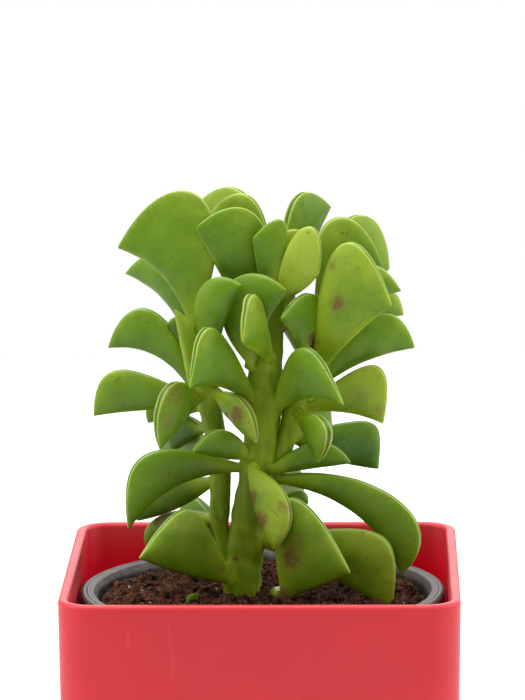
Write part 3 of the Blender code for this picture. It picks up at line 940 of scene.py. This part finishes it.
# Blades that fill out more than the rest, in millimetres: swell of the crest behind the
# stalk, brow of the crest, reach of the tip, belly of the keel, and how much higher it sits.
FULLNESS = {
    "leaf_left_12": (5.0, 2.8, 0.0, 0.5, -0.3),
    "leaf_left_10": (2.0, 0.0, 0.0, 0.0, 0.0),
    "leaf_main_09": (1.5, 0.0, 0.0, 0.0, 0.0),
    "leaf_main_11": (0.0, 0.0, 0.0, 0.0, 1.5),
    "leaf_main_12": (1.5, 0.0, 0.0, 1.0, 0.0),
    "leaf_main_13": (3.0, 0.8, 2.0, 3.0, -0.5),
    "leaf_main_14": (2.0, 0.0, 0.5, 1.0, 0.0),
    "leaf_main_15": (2.0, 0.0, 0.0, 0.0, 0.0),
    "leaf_main_16": (4.0, 0.0, 0.0, 0.0, 0.0),
    "leaf_main_18": (1.5, 0.0, 0.5, 2.5, 0.0),
    "leaf_main_19": (2.0, 0.0, 0.0, 0.0, 0.0),
    "leaf_right_06": (3.0, 0.0, 0.0, 5.0, 0.0),
    "leaf_right_07": (3.5, 0.0, 0.0, 0.5, 0.0),
    "leaf_right_09": (2.5, 0.0, 0.0, 0.0, 0.0),
    "leaf_right_10": (2.0, 0.0, 0.0, 0.0, 0.0),
}
# Small leaves and buds: foot, tip, half width and half thickness in millimetres, dryness.
LEAFLETS = {
    "soil_leaflet": ((-15.9, -7.0, 71.8), (-13.8, -7.4, 74.9), 1.3, 0.4, 0.0),
    "stem_leaflet": ((-8.7, -4.2, 89.8), (-10.4, -4.8, 94.9), 1.1, 0.5, 0.0),
    "branch_bud": ((-15.2, -0.6, 124.4), (-17.0, -0.9, 126.3), 0.7, 0.5, 0.0),
    "stem_bud": ((-5.2, -6.4, 73.4), (-5.7, -6.9, 77.6), 0.6, 0.5, 0.1),
    "dried_bud": ((4.2, -3.4, 131.0), (6.2, -4.2, 133.6), 0.8, 0.5, 1.0),
}
YOUNG = ("leaf_main_17", "leaf_main_18", "leaf_left_08")
LEAF_SEED, SEED_STEP = 100, 7
# Where the lips start on the section, and the blade height at which they reach full size.
LIP_START, FULL_LIPS = 0.94, 5.5 * MM


def blade_rings(node):
    """A packed blade as nine rings of ten points from stalk to tip, keel first, and its tip."""
    bm = bmesh.new()
    bm.from_mesh(node.data)
    bmesh.ops.remove_doubles(bm, verts=bm.verts, dist=2e-6)
    found = None
    for tip in bm.verts:
        if len(tip.link_edges) != 10:
            continue
        layers, seen = [[tip]], {tip}
        while layers[-1]:
            fresh = []
            for vert in layers[-1]:
                for edge in vert.link_edges:
                    other = edge.other_vert(vert)
                    if other not in seen:
                        seen.add(other)
                        fresh.append(other)
            layers.append(fresh)
        if [len(layer) for layer in layers[1:-1]] == [10] * 9:
            found = layers
            break
    if found is None:
        raise RuntimeError(f"{node.name} isn't laid out as a blade")
    rings = []
    for layer in found[1:-1]:
        members = set(layer)
        loop = [layer[0]]
        while len(loop) < 10:
            for edge in loop[-1].link_edges:
                other = edge.other_vert(loop[-1])
                outer = any(w not in members for face in edge.link_faces for w in face.verts)
                if other in members and other not in loop and outer:
                    loop.append(other)
                    break
            else:
                raise RuntimeError(f"{node.name} has an open ring")
        rings.append(np.array([v.co for v in loop]))
    tip = np.array(found[0][0].co)
    bm.free()
    rings.reverse()
    forward = tip - rings[0].mean(0)
    for k, ring in enumerate(rings):
        away = np.linalg.norm(ring[:, None] - ring, axis=2)
        odd = [
            sum(abs(away[i, (i + j) % 10] - away[i, i - j]) for j in range(1, 5)) for i in range(10)
        ]
        first = int(np.argmin([odd[i] + odd[i + 5] for i in range(5)]))
        spans = [away[i, (i + 1) % 10] + away[i, i - 1] for i in (first, first + 5)]
        keel = first if spans[0] > spans[1] else first + 5
        ring = np.roll(ring, -keel, axis=0)
        across = np.cross(forward, ring[5] - ring[0])
        if (ring[2] - ring[8]) @ across < 0:
            ring = np.roll(ring[::-1], 1, axis=0)
        rings[k] = ring
    return np.array(rings), tip


def leaf_base(node):
    """Where a blade's stalk ends beside its stem."""
    rings, _ = blade_rings(node)
    return rings[0].mean(0)


def leaf_finish(name, settings, young=False):
    """Waxy blade: mottled green, painted light towards the crest and painted shade towards the
    keel, yellow by the stalk and edges, pale lips, dark window.
    """
    finish = Finish(
        name,
        IOR=1.42,
        Specular_IOR_Level=0.35,
        Subsurface_Weight=0.12,
        Subsurface_Scale=1.6 * MM,
        Subsurface_Radius=(0.7, 1.0, 0.25),
        Coat_Roughness=0.3,
    )
    tone, yellow, dry, spot = finish.attributes("tone", "yellow", "dry", "spot")
    lip, window, share = finish.attributes("lip", "window", "share")
    keel, up = finish.attributes("keel", "up")
    clouds, mottle = finish.noise(7, 3.0, 0.5), finish.noise(1.5, 4.0, 0.68)
    cells = finish.noise(0.28, 2.0, 0.6)
    if young:
        main = tuple(settings.young)
        dark, pale = tinted(main, 0.62, 0.75, 0.5), tinted(main, 1.25, 1.12, 2.2)
    else:
        main, dark = tuple(settings.leaf), tuple(settings.leaf_dark)
        pale = tuple(settings.leaf_pale)
    # The up term makes each blade lighter towards its crest and darker towards its keel: painted
    # light from above and painted shade underneath.
    shade = tone + (clouds - 0.5) * 1.5 + (mottle - 0.5) * 0.6 + (up - 0.5) * 1.1
    finish.colour = dark
    finish.wash(finish.climb(shade, -1.2, 0.1), main)
    finish.wash(finish.climb(shade, 0.0, 1.3), pale)
    warm = finish.climb(share, 0.34, 0.02) * 0.6 + yellow * finish.climb(clouds, 0.3, 0.62) * 0.5
    warm = warm + finish.climb(keel, 0.3, 1.0) * 0.35 + finish.climb(share, 0.9, 1.0) * 0.3
    finish.wash(finish.climb(warm, 0.0, 1.2), linear(150, 172, 22))
    finish.wash(finish.climb(cells, 0.52, 0.72) * 0.3, pale)
    finish.wash(finish.climb(window, 0.1, 0.9) * 0.7, linear(64, 98, 24))
    crisp = dry * finish.climb(mottle, 0.3, 0.7)
    brim = finish.mix(crisp, linear(186, 204, 112), linear(206, 190, 84))
    finish.wash(finish.climb(lip, 0.35, 1.0) * 0.5, brim)
    dryness = finish.climb(dry * lip + (mottle - 0.5) * 1.4, 0.75, 1.1)
    finish.wash(dryness * 0.55, linear(176, 150, 92))
    finish.wash(finish.climb(spot, 0.1, 0.8) * 0.5, linear(124, 116, 46))
    mark = finish.climb(spot + (mottle - 0.5) * 1.5 + (cells - 0.5) * 0.8, 0.5, 0.9)
    finish.wash(mark * 0.75, tuple(settings.scar))
    fleck = finish.climb(finish.noise(1.0, 1.0, 0.4), 0.7, 0.76)
    finish.wash(fleck * 0.6, linear(96, 92, 30))
    roughness = 0.4 + 0.16 * mottle + 0.3 * mark - 0.12 * window
    relief = mottle * 0.45 + cells * 0.35 + clouds * 0.2
    return finish.close(roughness, relief, 0.22, 0.3, Coat_Weight=0.12 + 0.2 * window)


def petiole_rings(loop, along, stem):
    """Rings that carry a blade's stalk on from its first loop into the stem, inmost first."""
    middle = loop.mean(0)
    heart, radius = stem_point(stem, middle[2])
    heart = heart + 0.25 * radius * (middle - heart) / np.linalg.norm(middle - heart)
    gap = np.linalg.norm(middle - heart)
    handles = (middle, middle - along * min(1.4 * MM, 0.4 * gap), heart)
    rings = []
    forward = Vector(along)
    for share in (1.0, 0.8, 0.6, 0.4, 0.2):
        weights = bezier_weights(share, 2)[0]
        point = sum(w * h for w, h in zip(weights, handles))
        slope = 2 * (1 - share) * (handles[1] - handles[0]) + 2 * share * (handles[2] - handles[1])
        turn = np.array(forward.rotation_difference(Vector(-slope)).to_matrix())
        size = 1.0 + 0.16 * math.sin(math.pi * min(share * 1.1, 1.0))
        rings.append(point + (loop - middle) @ turn.T * size)
    return rings


def make_blade(name, stem, material, seed):
    """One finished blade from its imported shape, with lips, groove, wavy sides and stalk."""
    rings, tip = blade_rings(NODES[name])
    marks = np.append(0.985 * (np.arange(9) / 9) ** 0.92, 1.0)
    low = np.vstack([rings[:, 0], tip])
    high = np.vstack([(rings[:, 4] + rings[:, 6]) / 2, tip])
    half = np.linalg.norm(rings[:, 2] - rings[:, 8], axis=1) / 2
    keel_handles = np.linalg.lstsq(bezier_weights(marks, 2), low, rcond=None)[0]
    crest_handles = np.linalg.lstsq(bezier_weights(marks, 3), high, rcond=None)[0]
    across = unit(rings[4, 2] - rings[4, 8])
    rise = unit(crest_handles[0] - keel_handles[0])
    along = np.cross(rise, across)
    if along @ (tip - rings[0].mean(0)) < 0:
        along = -along
    swell, brow, reach, belly, higher = MM * np.array(FULLNESS.get(name, (0, 0, 0, 0, 0)))
    crest_handles[1] += swell * rise
    crest_handles[2] += brow * (along + 0.3 * rise)
    crest_handles[3] += reach * along
    keel_handles[1] -= belly * rise
    keel_handles[2] += reach * along
    for handles in (crest_handles, keel_handles):
        handles[:, 2] += higher
    x = np.linspace(0, 1, 46)[:-1]
    shares = x * (1.55 - 0.55 * x)
    keel_line = bezier_weights(shares, 2) @ keel_handles
    crest_line = bezier_weights(shares, 3) @ crest_handles
    blunt = np.sqrt(np.clip(1 - smoothstep(0.0, 1.0, (shares - 0.86) / 0.14) ** 1.5, 0, 1))
    width = flow(shares, marks[:-1], half) * (0.25 + 0.75 * blunt)
    section = [*HALF_SECTION, *[(u, -w, a, b) for u, w, a, b in HALF_SECTION[-2:0:-1]]]
    rng = np.random.default_rng(seed)
    bend = rng.uniform(-0.5, 0.5) * MM
    loops = []
    for k, share in enumerate(shares):
        tall = np.linalg.norm(crest_line[k] - keel_line[k])
        room = min(1.0, FULL_LIPS / max(tall, 1e-5))
        sway = bend * math.sin(math.pi * share) * across
        rise = crest_line[k] - keel_line[k]
        loop = []
        for up, wide, _, _ in section:
            if up > LIP_START:
                up = 1 - (1 - up) * (0.45 + 0.55 * room)
            loop.append(keel_line[k] + rise * up + across * wide * width[k] + sway)
        loops.append(np.array(loop))
    stalk = petiole_rings(loops[0], along, stem)
    points, faces = shell(stalk + loops)
    shares_all = np.concatenate([np.zeros(len(stalk)), shares])
    share = np.append(np.repeat(shares_all, len(section)), [0, 1])

    def tiled(column, ends):
        return np.append(np.tile([row[column] for row in section], len(shares_all)), ends)

    body = smoothstep(0.08, 0.3, share)
    ups, lips, windows = tiled(0, [0.5, 0.5]), tiled(2, [0, 0.6]) * body, tiled(3, [0, 0])
    windows = windows * smoothstep(0.12, 0.4, share) * (1 - smoothstep(0.9, 0.99, share))
    waves = 0.16 * MM * ripple(points, 6.5 * MM, seed + 1)
    waves += 0.05 * MM * ripple(points, 2.2 * MM, seed + 2)
    room = body * (1 - smoothstep(0.8, 1.0, share))
    points = points + np.outer(waves * room, across)
    keels = (1 - smoothstep(0.0, 0.14, ups)) * smoothstep(0.25, 0.5, share)
    spot = np.zeros(len(points))
    for place, up, reach, strength in SPOTS.get(name, ()):
        centre_keel = bezier_weights(place, 2)[0] @ keel_handles
        centre_crest = bezier_weights(place, 3)[0] @ crest_handles
        centre = centre_keel + (centre_crest - centre_keel) * up
        flat = points - np.outer((points - centre) @ across, across)
        away = np.linalg.norm(flat - centre, axis=1)
        fade = strength * (1 - smoothstep(0.15 * reach * MM, 1.3 * reach * MM, away))
        spot = np.maximum(spot, fade)
    # up runs from keel to crest and also carries the painted light and shade across each blade.
    values = {"share": share, "up": ups, "keel": keels, "lip": lips, "window": windows}
    values["spot"] = spot
    family, number = name[:-3], int(name[-2:])
    tones = TONES[family][number - 1] if number <= len(TONES[family]) else PLAIN
    for key, value in zip(("tone", "yellow", "dry"), tones):
        values[key] = np.full(len(points), value)
    return make_piece(name + "_blade", points, faces, material, values)


def make_leaflet(name, foot, tip, width, thick, dryness, material):
    """A small pointed leaf or bud between two points given in millimetres."""
    foot, tip = np.array(foot) * MM, np.array(tip) * MM
    way = unit(tip - foot)
    side = unit(np.cross(way, [0, 1, 0]))
    face = np.cross(side, way)
    bearings = around(14)
    rings = []
    for share in np.linspace(0.03, 0.985, 14):
        girth = math.sin(math.pi * share**0.8) ** 0.9
        centre = foot + (tip - foot) * share + face * 0.5 * MM * math.sin(math.pi * share)
        spread = np.outer(np.cos(bearings), side) * width
        spread += np.outer(np.sin(bearings), face) * thick
        rings.append(centre + spread * MM * girth)
    points, faces = shell(rings)
    values = {"share": 0.5, "up": 0.5, "spot": dryness}
    values = {key: np.full(len(points), value) for key, value in values.items()}
    return make_piece(name, points, faces, material, values)


class POTTED_OT_leaves(bpy.types.Operator):
    """All the folded blades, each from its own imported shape"""

    bl_idname = "potted.leaves"
    bl_label = "Leaves"

    def execute(self, context):
        settings = context.scene.potted_plant
        grown = leaf_finish("leaf_green", settings)
        fresh = leaf_finish("leaf_young", settings, True)
        stems = {family: stem for stem, (family, _, _) in STEMS.items()}
        slots = {part["node"]: part["material_slot"] for part in frame["record"]["subparts"]}
        names = sorted(name for name in NODES if name.startswith("leaf_"))
        for place, name in enumerate(names):
            material = fresh if name in YOUNG else grown
            blade = make_blade(name, stems[name[:-3]], material, LEAF_SEED + SEED_STEP * place)
            settle(blade, slots[name], name)
        for name, shape in LEAFLETS.items():
            settle(make_leaflet(name, *shape, grown), "leaf")
        return {"FINISHED"}


# Stage


# The camera: sensor width, focal length, place and axes, in millimetres.
SENSOR = 36.0
FOCAL_LENGTH = 5034 / 700 * SENSOR
EYE = (23.498, -1057.057, 315.794)
EYE_AXES = (
    (0.99976325, 0.02091168, -0.00601283),
    (0.00222834, 0.17648598, 0.98430063),
    (0.02164456, -0.98408099, 0.1763976),
)
# Softboxes: place, what they point at, size, and power in watts.
LIGHTS = {
    "softbox_top": ((-0.25, 0.0, 1.1), (0, 0, 0.1), (0.8, 0.8), 10.0),
    "softbox_left": ((-1.0, -0.1, 0.6), (0, 0, 0.1), (0.7, 0.9), 4.0),
    "softbox_right": ((1.0, 0.0, 0.5), (0, 0, 0.1), (0.7, 0.9), 5.5),
    "softbox_back": ((0.2, 1.0, 0.55), (0, 0, 0.11), (1.2, 0.7), 5.0),
}
FLOOR_LEVEL = -0.0005


def soft_light(name, place, target, size, power):
    """A square softbox aimed at a point."""
    light = bpy.data.lights.new(name, "AREA")
    light.shape = "RECTANGLE"
    light.size, light.size_y = size
    light.energy = power
    lamp = bpy.data.objects.new(name, light)
    lamp.location = place
    lamp.rotation_mode = "QUATERNION"
    lamp.rotation_quaternion = (Vector(target) - Vector(place)).to_track_quat("-Z", "Y")
    bpy.context.scene.collection.objects.link(lamp)


class POTTED_OT_stage(bpy.types.Operator):
    """Pale floor, soft studio light and the camera"""

    bl_idname = "potted.stage"
    bl_label = "Stage and Camera"

    def execute(self, context):
        scene = context.scene
        scene.view_settings.view_transform = "Standard"
        paper = Finish("floor_paper", Roughness=0.9)
        paper.feed(Base_Color=paper.mix(paper.noise(3, 3.0), (0.86,) * 3, (0.9,) * 3))
        rings = [level_ring(around(96), 0.7, -0.004)]
        rings += [level_ring(around(96), radius, FLOOR_LEVEL) for radius in (0.7, 0.5, 0.2, 0.05)]
        make_piece("floor", *shell(rings), paper.material)
        self.light_up(scene)
        for name, settings in LIGHTS.items():
            soft_light(name, *settings)
        self.place_camera(scene)
        return {"FINISHED"}

    def light_up(self, scene):
        """A white backdrop that lights the plant softly, brighter from above and behind."""
        world = bpy.data.worlds.new("studio")
        scene.world = world
        world.use_nodes = True
        bench = Bench(world.node_tree)
        sky = world.node_tree.nodes["Background"]
        sky.inputs["Color"].default_value = (1.0, 1.0, 1.0, 1.0)
        seen = bench.node("ShaderNodeLightPath", out="Is Camera Ray")
        way = bench.node("ShaderNodeTexCoord", out="Generated")
        parts = bench.node("ShaderNodeSeparateXYZ", {}, {"Vector": way}).socket.node.outputs
        behind, above = Value(bench, parts["Y"]), Value(bench, parts["Z"])
        glow = 0.34 + 0.42 * bench.climb(above, -0.1, 0.9) + 0.3 * bench.climb(behind, -0.3, 0.9)
        strength = seen + (1 - seen) * glow
        world.node_tree.links.new(strength.socket, sky.inputs["Strength"])

    def place_camera(self, scene):
        lens = bpy.data.cameras.new("camera")
        lens.sensor_width = SENSOR
        lens.lens = FOCAL_LENGTH
        lens.clip_start, lens.clip_end = 0.05, 30.0
        eye = bpy.data.objects.new("camera", lens)
        turn = Matrix(EYE_AXES).transposed().to_4x4()
        eye.matrix_world = Matrix.Translation(Vector(EYE) * MM) @ turn
        scene.collection.objects.link(eye)
        scene.camera = eye


class POTTED_PT_panel(bpy.types.Panel):
    bl_idname = "POTTED_PT_panel"
    bl_label = "Potted Peperomia"
    bl_space_type = "VIEW_3D"
    bl_region_type = "UI"
    bl_category = "Peperomia"

    def draw(self, context):
        layout = self.layout
        for name, group, operators in PANEL_ROWS:
            box = layout.box()
            for key in getattr(group, "__annotations__", ()):
                box.prop(getattr(context.scene, name), key)
            for operator in operators:
                box.operator(operator)


PANEL_ROWS = (
    ("potted_planter", POTTED_PG_planter, ("potted.planter",)),
    ("potted_nursery", POTTED_PG_nursery, ("potted.nursery_pot",)),
    ("potted_soil", POTTED_PG_soil, ("potted.soil",)),
    ("potted_plant", POTTED_PG_plant, ("potted.stems", "potted.leaves")),
    ("potted_stage", None, ("potted.stage",)),
)
GROUPS = {name: group for name, group, _ in PANEL_ROWS if group}
CLASSES = (
    *GROUPS.values(),
    POTTED_OT_planter,
    POTTED_OT_nursery,
    POTTED_OT_soil,
    POTTED_OT_stems,
    POTTED_OT_leaves,
    POTTED_OT_stage,
    POTTED_PT_panel,
)


def register():
    for cls in CLASSES:
        bpy.utils.register_class(cls)
    for name, group in GROUPS.items():
        setattr(bpy.types.Scene, name, PointerProperty(type=group))


def unregister():
    for name in GROUPS:
        delattr(bpy.types.Scene, name)
    for cls in reversed(CLASSES):
        bpy.utils.unregister_class(cls)


def main():
    register()
    bpy.ops.potted.stage()
    bpy.ops.potted.planter()
    bpy.ops.potted.nursery_pot()
    bpy.ops.potted.soil()
    bpy.ops.potted.stems()
    bpy.ops.potted.leaves()
    bpy.context.view_layer.update()


if __name__ == "__main__":
    main()
